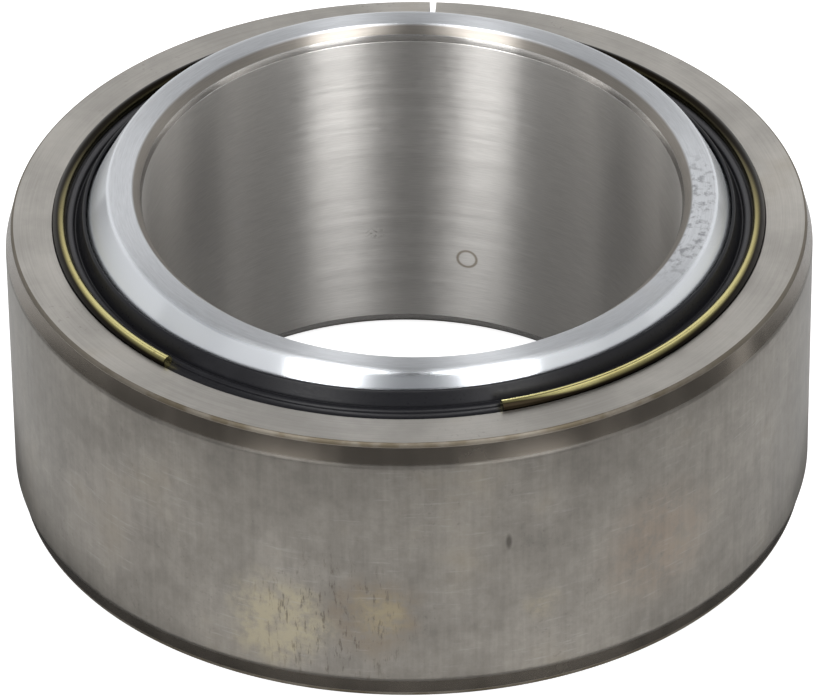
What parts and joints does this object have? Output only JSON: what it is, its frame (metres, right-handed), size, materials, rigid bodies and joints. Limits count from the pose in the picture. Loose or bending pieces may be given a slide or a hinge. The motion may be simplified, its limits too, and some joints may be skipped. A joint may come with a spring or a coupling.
{
  "type": "spherical plain bearing",
  "caption": "Sealed maintenance-free spherical plain bearing: chromed inner ring with a ball outside, split outer ring, lip seals held by open snap rings on both sides.",
  "frame": {"origin": "centre of the inner ring's lower end face, where the bearing stands on a table", "axes": "+Z along the bore of the inner ring, up; +Y away from the picture's camera; +X to its right"},
  "size_m": [0.1207, 0.1218, 0.057],
  "materials": {
    "ball_steel": "hard chromed ball, ground bore and end faces",
    "ring_steel": "turned and ground bearing steel with light tarnish",
    "liner_fabric": "woven sliding fabric in resin",
    "seal_rubber": "smooth black elastomer",
    "snap_ring_steel": "yellow passivated spring steel wire"
  },
  "bodies": {
    "inner": {"inner_ring": "ball_steel"},
    "seals": {"upper_seal": "seal_rubber", "lower_seal": "seal_rubber", "upper_snap_ring": "snap_ring_steel", "lower_snap_ring": "snap_ring_steel"},
    "outer": {"outer_ring": "ring_steel", "sliding_liner": "liner_fabric"}
  },
  "joints": [
    {"name": "ball_tilt", "type": "hinge", "parent": "inner", "child": "seals", "pos_m": [0, 0, 0.0285], "axis": [0.9336, 0.3584, 0], "range_deg": [-0.9, 7.1]},
    {"name": "outer_spin", "type": "hinge", "parent": "seals", "child": "outer", "pos_m": [0, 0, 0.0285], "axis": [-0.0194, 0.0505, 0.9985], "continuous": true}
  ]
}
